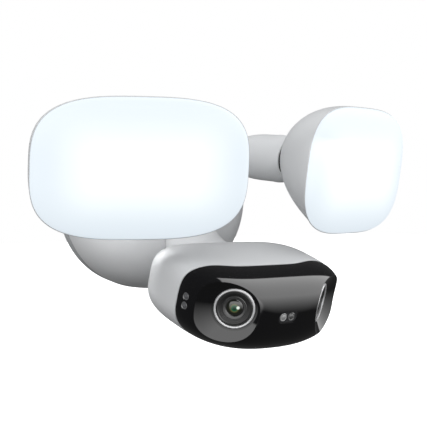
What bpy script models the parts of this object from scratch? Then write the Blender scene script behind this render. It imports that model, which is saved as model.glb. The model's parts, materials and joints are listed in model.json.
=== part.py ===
"""Floodlight security camera: a round wall base, two swivelling flood heads on curved arms,
and a twin-lens camera head on a ball neck.

Frame: X to the object's left-right with +X on the viewer's right, -Y out of the wall, +Z up.
The origin is the centre of the wall plate's back face.  All lengths are in metres.
"""
import math

import bmesh
import bpy
from mathutils import Euler, Matrix, Vector

MM = 0.001
GAP = 0.3 * MM            # running gap kept between touching pieces
SIDES = {"left": -1, "right": 1}

# ---- driving dimensions -------------------------------------------------------------------
# wall base
BASE_HALF_WIDTH = 71 * MM
BASE_HALF_HEIGHT = 66 * MM
BASE_SEAM_Y = -9 * MM             # where the rear housing meets the front dome
BASE_WIDEST_Y = -11 * MM
BASE_FRONT_Y = -64 * MM
BASE_WALL = 2.8 * MM
BASE_ROUNDNESS = 2.1              # 2 would be an oval outline
DOME_POWER = 2.7                  # how flat the dome's front is
CABLE_HOLE_Z = -24 * MM

# flood heads
HEAD_WIDTH = 138 * MM
HEAD_HEIGHT = 87.5 * MM
HEAD_DEPTH = 46 * MM              # from the rim back to the bowl's pole
HEAD_CENTRE = Vector((89.5 * MM, -133 * MM, 18 * MM))   # middle of the right head's rim
HEAD_YAW = math.radians(19)
HEAD_TILT = math.radians(8.5)
HEAD_WALL = 2.4 * MM
POLE_RISE = 9 * MM                # the bowl's pole sits above the middle of the rim
HEAD_POWER = 3.2
LENS_BULGE = 7 * MM               # how far the diffuser's crown stands in front of the rim

# knuckle between arm and head
PIVOT_TO_POLE = 14.5 * MM
KNUCKLE_RADIUS = 12.7 * MM
CUP_RADIUS = 17 * MM
CUP_OPENING = math.radians(60)
TONGUE_HALF_WIDTH = 4.2 * MM
TONGUE_HALF_HEIGHT = 6.5 * MM
KNUCKLE_PIN_RADIUS = 2 * MM

# arms
ARM_ROOT = Vector((45.5 * MM, -34.5 * MM, 28.5 * MM))
ARM_ROOT_DIRECTION = Vector((0.8, -0.6, 0))
ARM_ROOT_RADIUS = 12.4 * MM
ARM_STRAIGHT = 17.5 * MM           # how much of the arm's root is straight, through the dome's wall
CABLE_BORE = 4.5 * MM

# camera neck and ball
NECK_ROOT = Vector((0, -44 * MM, -17.5 * MM))
BALL_CENTRE = Vector((0, -83.3 * MM, -47.5 * MM))
BALL_RADIUS = 21 * MM
NECK_RADIUS = 19 * MM
CUP_WALL = 1.6 * MM
ARM_HALF_HEIGHT = 6 * MM          # of the swivel cup's two side arms

# camera head, in its own frame: origin on the ball's centre, -Y out through the face
CAMERA_TILT = math.radians(18)
BODY_HALF_WIDTH = 61.2 * MM
BODY_HALF_DEPTH = 47 * MM
BODY_HALF_HEIGHT = 27.75 * MM
BODY_CENTRE = Vector((0, -39.6 * MM, -3.75 * MM))
BODY_POWER = 3.0                  # roundness along the depth
BODY_TOP_POWER = 5.6              # squareness of the outline's upper half, seen from the front
BODY_BACK_POWER = 3.8             # the same at the back of the body, which is rounder
BODY_BOTTOM_POWER = 2.35          # and of the lower half
NECK_PANS = [math.radians(angle) for angle in (-12, 0, 12)]  # opening round the neck, by pan
NECK_TILTS = [math.radians(angle) for angle in (-8, 0, 6)]   # and by tilt
SEAM_SIDE = 8.6 * MM              # how far forward the black face starts: at its two ends,
SEAM_CORNER = 3.5 * MM            # this much further at the corners,
SEAM_TOP = 5 * MM               # and this much more over a short stretch at the top
SEAM_BOTTOM = 4 * MM              # and at the bottom
BODY_WALL = 2.4 * MM
FACE_WALL = 13.5 * MM

# lenses
LENS_X = 35.8 * MM
LENS_FORWARD = 35.4 * MM            # from the body's centre to the lens ring's plane
LENS_Z = 6.3 * MM
LENS_YAW = math.radians(38)
RING_OUTER = 12.9 * MM
RING_INNER = 11.6 * MM
BARREL_RADIUS = 11.2 * MM
BARREL_DEPTH = 15 * MM

DOOR_SIZE = (24 * MM, 12 * MM, 1.8 * MM)   # memory-card door under the camera head

WINDOW_Z = 2.8 * MM                 # sensor window between the lenses
SPOT_RADIUS = 2.4 * MM            # the two small round lamps at the face's left end
SPOT_X = -60.3 * MM

SEGMENTS = 32                     # points round a flood head's outline
BODY_SEGMENTS = 36                # and round the camera head's
BASE_SEGMENTS = 40


# ---- helpers ------------------------------------------------------------------------------
def clear_scene():
    for thing in list(bpy.data.objects):
        bpy.data.objects.remove(thing, do_unlink=True)


def material(name, colour, roughness, metallic=0.0, glow=0.0):
    made = bpy.data.materials.get(name)
    if made:
        return made
    made = bpy.data.materials.new(name)
    made.use_nodes = True
    shader = made.node_tree.nodes["Principled BSDF"]
    shader.inputs["Base Color"].default_value = (*colour, 1)
    shader.inputs["Roughness"].default_value = roughness
    shader.inputs["Metallic"].default_value = metallic
    if glow:
        shader.inputs["Emission Color"].default_value = (*colour, 1)
        shader.inputs["Emission Strength"].default_value = glow
    return made


def finishes():
    return {
        "shell": material("shell_white", (0.78, 0.79, 0.80), 0.38),
        "dark_shell": material("housing_grey", (0.42, 0.43, 0.44), 0.5),
        "gloss": material("black_gloss", (0.012, 0.012, 0.014), 0.08),
        "black": material("black_plastic", (0.03, 0.03, 0.032), 0.45),
        "steel": material("steel", (0.6, 0.6, 0.61), 0.35, 1.0),
        "aluminium": material("aluminium", (0.72, 0.72, 0.74), 0.4, 1.0),
        "silver": material("silver_ring", (0.75, 0.75, 0.76), 0.25, 1.0),
        "rubber": material("rubber", (0.05, 0.05, 0.052), 0.85),
        "board": material("circuit_board", (0.03, 0.16, 0.08), 0.5),
        "white_board": material("led_board", (0.86, 0.86, 0.84), 0.45),
        "reflector": material("reflector", (0.9, 0.9, 0.9), 0.3),
        "diffuser": material("diffuser", (0.92, 0.96, 1.0), 0.35, glow=4.0),
        "glass": material("lens_glass", (0.02, 0.05, 0.03), 0.03),
        "brass": material("brass", (0.72, 0.55, 0.25), 0.35, 1.0),
    }


def empty(name, location, rotation=(0, 0, 0), parent=None):
    made = bpy.data.objects.new(name, None)
    made.empty_display_size = 0.02
    made.location = location
    made.rotation_euler = rotation
    made.parent = parent
    bpy.context.scene.collection.objects.link(made)
    return made


def finish(bm, name, finish_material, parent=None, location=(0, 0, 0), rotation=(0, 0, 0)):
    """Turns a bmesh into a named object with its own material, shaded smooth but for sharp edges."""
    bmesh.ops.remove_doubles(bm, verts=bm.verts, dist=1e-6)
    bmesh.ops.recalc_face_normals(bm, faces=bm.faces)
    mesh = bpy.data.meshes.new(name)
    bm.to_mesh(mesh)
    bm.free()
    mesh.materials.append(finish_material)
    mesh.shade_smooth()
    mesh.set_sharp_from_angle(angle=math.radians(35))
    made = bpy.data.objects.new(name, mesh)
    made.parent = parent
    made.location = location
    made.rotation_euler = rotation
    bpy.context.scene.collection.objects.link(made)
    return made


def cut(target, cutter, operation="DIFFERENCE"):
    """Adds a Boolean on target, and marks the cutter as a helper."""
    cutter.hide_render = True
    cutter.display_type = "WIRE"
    boolean = target.modifiers.new(cutter.name, "BOOLEAN")
    boolean.operation = operation
    boolean.object = cutter
    return target


def ring_edges(bm, ring):
    return [bm.edges.get(pair) or bm.edges.new(pair) for pair in zip(ring, ring[1:] + ring[:1])]


def loft(bm, rings, closed=False):
    """Extrudes the first ring of points to each of the others in turn.

    An open run gets a flat cap on both ends.  A closed one returns to its first ring.
    """
    ring = [bm.verts.new(point) for point in rings[0]]
    first_edges = ring_edges(bm, ring)
    for points in rings[1:] + (rings[:1] if closed else []):
        grown = bmesh.ops.extrude_edge_only(bm, edges=ring_edges(bm, ring))
        fresh = {tuple(v.co): v for v in grown["geom"] if isinstance(v, bmesh.types.BMVert)}
        ring = [fresh[tuple(v.co)] for v in ring]
        for vert, point in zip(ring, points):
            vert.co = point
    if not closed:
        bmesh.ops.contextual_create(bm, geom=first_edges)
        bmesh.ops.contextual_create(bm, geom=ring_edges(bm, ring))


def outline(half_width, half_height, power, count=SEGMENTS, lower_power=None):
    """Points of a superellipse as (x, z): an oval at power 2, squarer as the power grows."""
    points = []
    for i in range(count):
        angle = 2 * math.pi * (i + 0.5) / count
        c = math.cos(angle)
        s = math.sin(angle)
        p = lower_power if lower_power and s < 0 else power
        x = half_width * math.copysign(abs(c) ** (2 / p), c)
        z = half_height * math.copysign(abs(s) ** (2 / p), s)
        points.append((x, z))
    return points


def body_outline(half_width, half_height, top_power=BODY_TOP_POWER):
    return outline(half_width, half_height, top_power, BODY_SEGMENTS, BODY_BOTTOM_POWER)


def flat_ring(half_width, half_height, power, y, count=SEGMENTS, z_shift=0.0):
    return [Vector((x, y, z + z_shift)) for x, z in outline(half_width, half_height, power, count)]


def turned(name, profile, finish_material, parent=None, location=(0, 0, 0), rotation=(0, 0, 0),
           steps=24, closed=True):
    """Spins a profile of (radius, height) about Z.  An open profile starts and ends on the axis."""
    bm = bmesh.new()
    verts = [bm.verts.new((radius, 0, height)) for radius, height in profile]
    edges = [bm.edges.new(pair) for pair in zip(verts, verts[1:])]
    if closed:
        edges.append(bm.edges.new((verts[-1], verts[0])))
    bmesh.ops.spin(bm, geom=verts + edges, cent=(0, 0, 0), axis=(0, 0, 1),
                   angle=2 * math.pi, steps=steps, use_merge=True)
    return finish(bm, name, finish_material, parent, location, rotation)


def block(name, size, finish_material, parent=None, location=(0, 0, 0), rotation=(0, 0, 0),
          bevel=0.0):
    bm = bmesh.new()
    bmesh.ops.create_cube(bm, size=1, matrix=Matrix.Diagonal((*size, 1)))
    if bevel:
        bmesh.ops.bevel(bm, geom=bm.edges, offset=bevel, segments=1, affect="EDGES", profile=0.5,
                        material=-1)
    return finish(bm, name, finish_material, parent, location, rotation)


def disc(name, radius, length, finish_material, parent=None, location=(0, 0, 0),
         rotation=(0, 0, 0), steps=16):
    """A plain cylinder along Z, centred on its location."""
    bm = bmesh.new()
    bmesh.ops.create_cone(bm, cap_ends=True, segments=steps, radius1=radius, radius2=radius,
                          depth=length)
    return finish(bm, name, finish_material, parent, location, rotation)


def ball(name, radius, finish_material, parent=None, location=(0, 0, 0)):
    bm = bmesh.new()
    bmesh.ops.create_uvsphere(bm, u_segments=20, v_segments=12, radius=radius)
    return finish(bm, name, finish_material, parent, location)


def towards(direction):
    """Rotation that turns +Z to a direction."""
    return Vector((0, 0, 1)).rotation_difference(Vector(direction)).to_euler()


ALONG_X = (0, math.pi / 2, 0)
ALONG_Y = (math.pi / 2, 0, 0)          # +Z turned to -Y, out of the wall


def swept_rings(stations, count=20):
    """Rings for a loft: each station is (centre, direction, radius)."""
    rings = []
    for centre, direction, radius in stations:
        side = direction.cross(Vector((0, 0, 1))).normalized()
        up = side.cross(direction).normalized()
        ring = []
        for i in range(count):
            angle = 2 * math.pi * (i + 0.5) / count
            ring.append(centre + radius * (math.cos(angle) * side + math.sin(angle) * up))
        rings.append(ring)
    return rings


# ---- wall base ----------------------------------------------------------------------------
def base_ring(size, y, inset=0.0):
    return flat_ring(BASE_HALF_WIDTH * size - inset, BASE_HALF_HEIGHT * size - inset,
                     BASE_ROUNDNESS, y, BASE_SEGMENTS)


def front_dome(look):
    depth = BASE_WIDEST_Y - BASE_FRONT_Y
    outer = []
    inner = [base_ring(0.985, BASE_SEAM_Y, BASE_WALL), base_ring(1, BASE_WIDEST_Y, BASE_WALL)]
    for share in (0.985, 0.92, 0.8, 0.64, 0.44, 0.22, 0.0):
        size = (1 - share ** DOME_POWER) ** (1 / DOME_POWER)
        outer.append(base_ring(size, BASE_WIDEST_Y - share * depth))
    outer.append(base_ring(0.985, BASE_SEAM_Y))
    for share in (0.3, 0.55, 0.78, 0.93):
        size = (1 - share ** DOME_POWER) ** (1 / DOME_POWER)
        inner.append(base_ring(size, BASE_WIDEST_Y - share * (depth - BASE_WALL), BASE_WALL))
    bm = bmesh.new()
    loft(bm, outer + inner)
    dome = finish(bm, "front_dome", look["shell"])
    for side, sign in SIDES.items():
        direction = Vector((sign * ARM_ROOT_DIRECTION.x, ARM_ROOT_DIRECTION.y, 0))
        cut(dome, disc(f"arm_hole_{side}", ARM_ROOT_RADIUS + 0.5 * MM, 60 * MM, look["shell"],
                       location=arm_root(sign) + direction * 28 * MM, rotation=towards(direction),
                       steps=24))
    direction = (BALL_CENTRE - NECK_ROOT).normalized()
    cut(dome, disc("neck_hole", NECK_RADIUS + 0.5 * MM, 44 * MM, look["shell"],
                   location=NECK_ROOT + direction * 18 * MM, rotation=towards(direction), steps=32))
    return dome


def rear_housing(look):
    """Shallow oval tray between the wall plate and the dome, open to the back."""
    front = BASE_SEAM_Y + GAP
    back = -0.2 * MM
    bm = bmesh.new()
    loft(bm, [
        base_ring(0.5, front),
        base_ring(0.985, front),
        base_ring(0.985, -4 * MM),
        base_ring(0.965, back),
        base_ring(0.965, back, BASE_WALL),
        base_ring(0.985, -4 * MM, BASE_WALL),
        base_ring(0.985, front + 2 * MM, BASE_WALL),
        base_ring(0.5, front + 2 * MM),
    ])
    tray = finish(bm, "rear_housing", look["dark_shell"])
    cut(tray, disc("tray_cable_hole", 12 * MM, 30 * MM, look["dark_shell"],
                   location=(0, BASE_SEAM_Y, CABLE_HOLE_Z), rotation=ALONG_Y, steps=24))
    return tray


def wall_pieces(look):
    plate = turned("wall_plate", [(0, 0), (50 * MM, 0), (50 * MM, 2.5 * MM), (0, 2.5 * MM)],
                   look["steel"], rotation=ALONG_Y, steps=40, closed=False)
    cut(plate, disc("plate_cable_hole", 11 * MM, 12 * MM, look["steel"],
                    location=(0, -1 * MM, CABLE_HOLE_Z), rotation=ALONG_Y, steps=24))
    for i in range(4):
        angle = math.pi / 4 + i * math.pi / 2
        centre = Vector((38 * MM * math.cos(angle), -1 * MM, 38 * MM * math.sin(angle)))
        cut(plate, disc(f"plate_hole_{i}", 2.4 * MM, 12 * MM, look["steel"], location=centre,
                        rotation=ALONG_Y, steps=12))
    gasket = [base_ring(0.965, 0, inset) for inset in (3.4 * MM, 7 * MM)]
    gasket += [base_ring(0.965, -3 * MM, inset) for inset in (7 * MM, 3.4 * MM)]
    bm = bmesh.new()
    loft(bm, gasket, closed=True)
    finish(bm, "wall_gasket", look["rubber"])
    turned("cable_grommet", [(5 * MM, -3 * MM), (11.4 * MM, -3 * MM), (11.4 * MM, 2 * MM),
                             (8 * MM, 4 * MM), (5 * MM, 4 * MM)],
           look["rubber"], rotation=ALONG_Y, location=(0, BASE_SEAM_Y + 1 * MM, CABLE_HOLE_Z),
           steps=24)


def driver_pieces(look):
    """Power supply that feeds the lamps and the camera, on the tray inside the dome."""
    board_y = -17 * MM
    block("power_board", (76 * MM, 1.6 * MM, 62 * MM), look["board"], location=(0, board_y, 0))
    block("transformer", (24 * MM, 17 * MM, 20 * MM), look["black"], bevel=1 * MM,
          location=(-18 * MM, board_y - 9.7 * MM, 16 * MM))
    block("terminal_block", (30 * MM, 11 * MM, 10 * MM), look["black"], bevel=0.6 * MM,
          location=(16 * MM, board_y - 6.7 * MM, 20 * MM))
    disc("smoothing_capacitor", 7 * MM, 15 * MM, look["steel"], rotation=ALONG_Y,
         location=(-24 * MM, board_y - 8.8 * MM, -18 * MM))
    for side, sign in SIDES.items():
        turned(f"dome_screw_{side}",
               [(0, 0), (1.5 * MM, 0), (1.5 * MM, 9 * MM), (3.2 * MM, 9 * MM),
                (2.6 * MM, 11 * MM), (0, 11 * MM)],
               look["steel"], location=(sign * 46 * MM, BASE_SEAM_Y - 0.6 * MM, -30 * MM),
               rotation=ALONG_Y, steps=12, closed=False)


def arm_path(sign):
    """Centre line of an arm outside the dome: at(0) leaves the dome, at(1) is the knuckle."""
    leave = Vector((sign * ARM_ROOT_DIRECTION.x, ARM_ROOT_DIRECTION.y, 0))
    start = arm_root(sign) + leave * ARM_STRAIGHT
    end = head_pivot(sign)
    middle = (start + leave * 8 * MM + end - face_normal(sign) * 20 * MM) / 2

    def at(share):
        point = (1 - share) ** 2 * start + 2 * share * (1 - share) * middle + share ** 2 * end
        direction = 2 * (1 - share) * (middle - start) + 2 * share * (end - middle)
        return point, direction.normalized()
    return at


def arm_root(sign):
    return Vector((sign * ARM_ROOT.x, ARM_ROOT.y, ARM_ROOT.z))


def face_normal(sign):
    turn = Euler((HEAD_TILT, 0, sign * HEAD_YAW)).to_matrix()
    return turn @ Vector((0, -1, 0))


def head_pivot(sign):
    centre = Vector((sign * HEAD_CENTRE.x, HEAD_CENTRE.y, HEAD_CENTRE.z))
    return centre - face_normal(sign) * (HEAD_DEPTH + PIVOT_TO_POLE)


def arm_pieces(look, side, sign):
    at = arm_path(sign)
    root = arm_root(sign)
    leave = Vector((sign * ARM_ROOT_DIRECTION.x, ARM_ROOT_DIRECTION.y, 0))
    pivot = head_pivot(sign)
    forward = at(1.0)[1]
    stations = [(root, leave, ARM_ROOT_RADIUS), (root + leave * ARM_STRAIGHT, leave, ARM_ROOT_RADIUS)]
    for share, radius in ((0.1, 13.8 * MM), (0.25, 15.2 * MM), (0.45, 16 * MM), (0.7, 16.5 * MM)):
        stations.append((*at(share), radius))
    for angle in (90, 75, math.degrees(CUP_OPENING)):
        a = math.radians(angle)
        stations.append((pivot + forward * CUP_RADIUS * math.cos(a), forward,
                         CUP_RADIUS * math.sin(a)))
    cavity = KNUCKLE_RADIUS + 2 * GAP
    for angle in (math.degrees(CUP_OPENING), 90, 115, 135, 150):
        a = math.radians(angle)
        stations.append((pivot + forward * cavity * math.cos(a), forward, cavity * math.sin(a)))
    for share in (0.5, 0.25, 0.0):
        stations.append((*at(share), CABLE_BORE))
    stations.append((root, leave, CABLE_BORE))
    bm = bmesh.new()
    loft(bm, swept_rings(stations), closed=True)
    finish(bm, f"arm_{side}", look["shell"])
    turned(f"arm_nut_{side}",
           [(6 * MM, -5 * MM), (14 * MM, -5 * MM), (14 * MM, -GAP), (6 * MM, -GAP)],
           look["brass"], location=root, rotation=towards(leave), steps=6)


# ---- flood heads --------------------------------------------------------------------------
def bowl_ring(share, inset=0.0):
    """Ring of the bowl: share 0 at the rim, 1 at the pole.  Squarish rim, round raised pole."""
    size = math.sqrt(max(1 - share ** 2, 0))
    power = 2 + (HEAD_POWER - 2) * (1 - share)
    rise = POLE_RISE * share ** 0.7 * size ** 0.5
    y = -(PIVOT_TO_POLE + HEAD_DEPTH) + share * HEAD_DEPTH
    half_width = (HEAD_WIDTH / 2) * size - inset
    half_height = (HEAD_HEIGHT / 2) * size - inset - rise
    return flat_ring(half_width, half_height, power, y, z_shift=rise)


def head_rear_shell(look, side, tilt_axis):
    rim_y = -(PIVOT_TO_POLE + HEAD_DEPTH)
    outer = [bowl_ring(share) for share in (0.985, 0.93, 0.82, 0.66, 0.46, 0.24, 0.0)]
    inner = []
    for share in (0.0, 0.3, 0.58, 0.8, 0.9):
        ring = bowl_ring(share, HEAD_WALL)
        inner.append([point - Vector((0, HEAD_WALL * share, 0)) for point in ring])
    bm = bmesh.new()
    loft(bm, outer + inner)
    shell = finish(bm, f"head_rear_shell_{side}", look["shell"], tilt_axis)
    tongue = block(f"tongue_{side}",
                   (2 * TONGUE_HALF_WIDTH, 17 * MM, 2 * TONGUE_HALF_HEIGHT), look["shell"],
                   tilt_axis, location=(0, -9.5 * MM, 0))
    cut(shell, tongue, "UNION")
    eye = disc(f"tongue_eye_{side}", TONGUE_HALF_HEIGHT, 2 * TONGUE_HALF_WIDTH, look["shell"],
               tilt_axis, rotation=ALONG_X, steps=16)
    cut(shell, eye, "UNION")
    bore = disc(f"tongue_bore_{side}", KNUCKLE_PIN_RADIUS + GAP, 20 * MM, look["shell"],
                tilt_axis, rotation=ALONG_X, steps=12)
    cut(shell, bore)
    return rim_y


def head_inner_pieces(look, side, tilt_axis, rim_y):
    """Heat sink, lamp board, reflector tray and seal, from back to front."""
    plate_y = rim_y + 20 * MM
    bm = bmesh.new()
    fins = 9
    pitch = 9 * MM
    fin = 1.6 * MM
    profile = [(-42 * MM, 0), (42 * MM, 0), (42 * MM, 3 * MM)]
    for i in range(fins - 1, -1, -1):
        x = (i - (fins - 1) / 2) * pitch
        tip = (11 - 0.25 * abs(i - (fins - 1) / 2) ** 2) * MM
        profile += [(x + fin / 2, 3 * MM), (x + fin / 2, tip), (x - fin / 2, tip),
                    (x - fin / 2, 3 * MM)]
    profile.append((-42 * MM, 3 * MM))
    verts = [bm.verts.new((x, plate_y + y, -11 * MM)) for x, y in profile]
    face = bm.faces.new(verts)
    grown = bmesh.ops.extrude_face_region(bm, geom=[face])
    top = [v for v in grown["geom"] if isinstance(v, bmesh.types.BMVert)]
    bmesh.ops.translate(bm, verts=top, vec=(0, 0, 33 * MM))
    finish(bm, f"heat_sink_{side}", look["aluminium"], tilt_axis)

    bm = bmesh.new()
    loft(bm, [flat_ring(46 * MM, 25 * MM, 4, plate_y - GAP),
              flat_ring(46 * MM, 25 * MM, 4, plate_y - GAP - 1.6 * MM)])
    finish(bm, f"led_board_{side}", look["white_board"], tilt_axis)

    tray = [
        flat_ring(59 * MM, 33 * MM, 3.4, rim_y + 1.5 * MM),
        flat_ring(47 * MM, 26 * MM, 4, plate_y - 2.4 * MM),
        flat_ring(45.5 * MM, 24.5 * MM, 4, plate_y - 2.4 * MM),
        flat_ring(57.5 * MM, 31.5 * MM, 3.4, rim_y + 1.5 * MM),
    ]
    bm = bmesh.new()
    loft(bm, tray, closed=True)
    finish(bm, f"reflector_{side}", look["reflector"], tilt_axis)

    seal = [bowl_ring(0.005, 3 * MM), bowl_ring(0.005, 5 * MM),
            bowl_ring(0.045, 5 * MM), bowl_ring(0.045, 3.4 * MM)]
    bm = bmesh.new()
    loft(bm, seal, closed=True)
    finish(bm, f"head_seal_{side}", look["rubber"], tilt_axis)


def diffuser_ring(inset, y, power=HEAD_POWER):
    return flat_ring(HEAD_WIDTH / 2 - inset, HEAD_HEIGHT / 2 - inset, power, y)


def head_diffuser(look, side, tilt_axis, rim_y):
    """Milky cover: a cushion-shaped shell that closes the front of the bowl."""
    back = rim_y - GAP
    outer = [diffuser_ring(38 * MM, rim_y - LENS_BULGE, 2.4),
             diffuser_ring(24 * MM, rim_y - 0.96 * LENS_BULGE, 2.8),
             diffuser_ring(12 * MM, rim_y - 0.8 * LENS_BULGE),
             diffuser_ring(5 * MM, rim_y - 0.56 * LENS_BULGE),
             diffuser_ring(1.6 * MM, rim_y - 0.28 * LENS_BULGE),
             diffuser_ring(0.5 * MM, back)]
    wall = 2 * MM
    inner = [diffuser_ring(2.6 * MM, back),
             diffuser_ring(7 * MM, rim_y - 0.56 * LENS_BULGE + wall),
             diffuser_ring(24 * MM, rim_y - 0.96 * LENS_BULGE + wall, 2.8),
             diffuser_ring(38 * MM, rim_y - LENS_BULGE + wall, 2.4)]
    bm = bmesh.new()
    loft(bm, outer + inner)
    finish(bm, f"diffuser_{side}", look["diffuser"], tilt_axis)


def knuckle_pieces(look, side, pan_axis):
    """Ball that turns in the arm's cup and holds the head's tongue on a cross pin."""
    knuckle = ball(f"knuckle_{side}", KNUCKLE_RADIUS, look["black"], pan_axis)
    slot = block(f"knuckle_slot_{side}",
                 (2 * TONGUE_HALF_WIDTH + 2 * GAP, 24 * MM, 40 * MM), look["black"], pan_axis,
                 location=(0, -4.4 * MM, 0))
    cut(knuckle, slot)
    bore = disc(f"knuckle_bore_{side}", KNUCKLE_PIN_RADIUS + GAP, 40 * MM, look["black"], pan_axis,
                rotation=ALONG_X, steps=12)
    cut(knuckle, bore)
    disc(f"knuckle_pin_{side}", KNUCKLE_PIN_RADIUS, 23 * MM, look["steel"], pan_axis,
         rotation=ALONG_X, steps=12)


def flood_head(look, side, sign):
    pivot = head_pivot(sign)
    pan_axis = empty(f"pan_axis_{side}", pivot, (0, 0, sign * HEAD_YAW))
    tilt_axis = empty(f"tilt_axis_{side}", (0, 0, 0), (HEAD_TILT, 0, 0), pan_axis)
    knuckle_pieces(look, side, pan_axis)
    rim_y = head_rear_shell(look, side, tilt_axis)
    head_inner_pieces(look, side, tilt_axis, rim_y)
    head_diffuser(look, side, tilt_axis, rim_y)


# ---- camera neck --------------------------------------------------------------------------
def neck_pieces(look):
    """Neck fixed in the dome, with the ball that the camera head turns on."""
    direction = (BALL_CENTRE - NECK_ROOT).normalized()
    length = (BALL_CENTRE - NECK_ROOT).length
    stations = []
    for along in (0, 36 * MM):
        stations.append((NECK_ROOT + direction * along, direction, NECK_RADIUS))
    for angle in (110, 90, 70, 50, 32, 16):
        a = math.radians(angle)
        centre = BALL_CENTRE + direction * BALL_RADIUS * math.cos(a)
        stations.append((centre, direction, BALL_RADIUS * math.sin(a)))
    for along in (length + 15 * MM, length, length / 2, 0):
        stations.append((NECK_ROOT + direction * along, direction, CABLE_BORE))
    bm = bmesh.new()
    loft(bm, swept_rings(stations, 24), closed=True)
    finish(bm, "camera_neck", look["shell"])
    turned("neck_nut", [(6 * MM, -5 * MM), (15 * MM, -5 * MM), (15 * MM, -GAP), (6 * MM, -GAP)],
           look["brass"], location=NECK_ROOT, rotation=towards(direction), steps=6)


def swivel_pieces(look, axis):
    """Cup over the front of the ball, with two side arms: it pans with the camera and holds
    the two pins that the camera tilts on."""
    inner = BALL_RADIUS + 3 * GAP
    outer = inner + CUP_WALL
    angles = (14, 28, 42, 56, 70, 84, 98)
    profile = [(outer * math.sin(math.radians(a)), outer * math.cos(math.radians(a)))
               for a in angles[::-1]]
    profile += [(inner * math.sin(math.radians(a)), inner * math.cos(math.radians(a)))
                for a in angles]
    cup = turned("swivel_cup", profile, look["black"], axis, rotation=ALONG_Y, steps=28)
    for above in (1, -1):
        cut(cup, block(f"swivel_trim_{above}", (60 * MM, 40 * MM, 30 * MM), look["black"],
                       axis, location=(0, 3 * MM, above * (15 * MM + ARM_HALF_HEIGHT))))
    bore = disc("swivel_bore", 2 * MM + GAP, 80 * MM, look["black"], axis, rotation=ALONG_X,
                steps=12)
    cut(cup, bore)
    for side, sign in SIDES.items():
        disc(f"tilt_pin_{side}", 2 * MM, 7.5 * MM, look["steel"], axis,
             location=(sign * (inner + 3.6 * MM), 0, 0), rotation=ALONG_X, steps=12)


# ---- camera head --------------------------------------------------------------------------
def body_depth(x, z, inset=0.0, front_inset=None):
    """Distance from the body's middle to its skin at (x, z) seen from the front."""
    depth = BODY_HALF_DEPTH - (inset if front_inset is None else front_inset)
    across = abs(x) / (BODY_HALF_WIDTH - inset)
    up = abs(z) / (BODY_HALF_HEIGHT - inset)
    power = BODY_TOP_POWER if z > 0 else BODY_BOTTOM_POWER
    share = (across ** power + up ** power) ** (1 / power)
    return depth * max(1 - min(share, 1) ** BODY_POWER, 0) ** (1 / BODY_POWER)


def body_level(share, inset=0.0):
    """Ring round the back half of the body: share 1 at the widest section, 0 at the pole."""
    power = BODY_BACK_POWER + (BODY_TOP_POWER - BODY_BACK_POWER) * share ** 4
    y = (BODY_HALF_DEPTH - inset) * (1 - share ** BODY_POWER) ** (1 / BODY_POWER)
    return [BODY_CENTRE + Vector((x, y, z))
            for x, z in body_outline((BODY_HALF_WIDTH - inset) * share,
                                     (BODY_HALF_HEIGHT - inset) * share, power)]


def seam(inset=0.0):
    """Edge of the black face on the body's skin, as (x, depth, z), drawn in by an inset."""
    points = []
    for i, (x, z) in enumerate(body_outline(1, 1)):
        rise = math.sin(2 * math.pi * (i + 0.5) / BODY_SEGMENTS)
        depth = SEAM_SIDE + SEAM_CORNER * abs(rise)
        depth += (SEAM_TOP if rise > 0 else SEAM_BOTTOM) * abs(rise) ** 40
        level = (1 - (depth / BODY_HALF_DEPTH) ** BODY_POWER) ** (1 / BODY_POWER)
        points.append((x * (BODY_HALF_WIDTH * level - inset), depth,
                       z * (BODY_HALF_HEIGHT * level - inset)))
    return points


def seam_ring(inset=0.0, back=0.0):
    return [BODY_CENTRE + Vector((x, back - depth, z)) for x, depth, z in seam(inset)]


def camera_rear_shell(look, tilt_axis):
    """The pale pebble-shaped shell behind the black face."""
    outer = [body_level(share) for share in (0.35, 0.6, 0.8, 0.92, 0.985, 1.0)]
    outer.append(seam_ring())
    inner = [seam_ring(BODY_WALL)]
    inner += [body_level(share, BODY_WALL) for share in (0.999, 0.94, 0.8, 0.6, 0.35)]
    bm = bmesh.new()
    loft(bm, outer + inner)
    shell = finish(bm, "camera_rear_shell", look["shell"], tilt_axis)
    for side, sign in SIDES.items():
        ear = block(f"ear_{side}", (3.6 * MM, 9.7 * MM, 13 * MM), look["shell"], tilt_axis,
                    location=(sign * 27.5 * MM, -0.65 * MM, 1.5 * MM))
        cut(shell, ear, "UNION")
    cut(shell, ball("ball_clearance", BALL_RADIUS + 0.8 * MM, look["shell"], tilt_axis))
    for pan in NECK_PANS:
        for tilt in NECK_TILTS:
            away = Euler((-CAMERA_TILT + tilt, 0, 0)).to_matrix() @ (
                Euler((0, 0, pan)).to_matrix() @ (NECK_ROOT - BALL_CENTRE).normalized())
            cut(shell, disc("neck_clearance", NECK_RADIUS + 0.8 * MM, 60 * MM, look["shell"],
                            tilt_axis, location=away * 30 * MM, rotation=towards(away), steps=36))
    cut(shell, disc("arm_clearance", 9 * MM, 2 * (BALL_RADIUS + 3.6 * MM), look["shell"], tilt_axis,
                    rotation=ALONG_X))
    ear_bore = disc("ear_bore", 2 * MM + GAP, 80 * MM, look["shell"], tilt_axis, rotation=ALONG_X,
                    steps=12)
    cut(shell, ear_bore)
    return shell


def lens_frame(side, sign, tilt_axis):
    location = BODY_CENTRE + Vector((sign * LENS_X, -LENS_FORWARD, LENS_Z))
    return empty(f"lens_axis_{side}", location, (0, 0, sign * LENS_YAW), tilt_axis)


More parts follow.
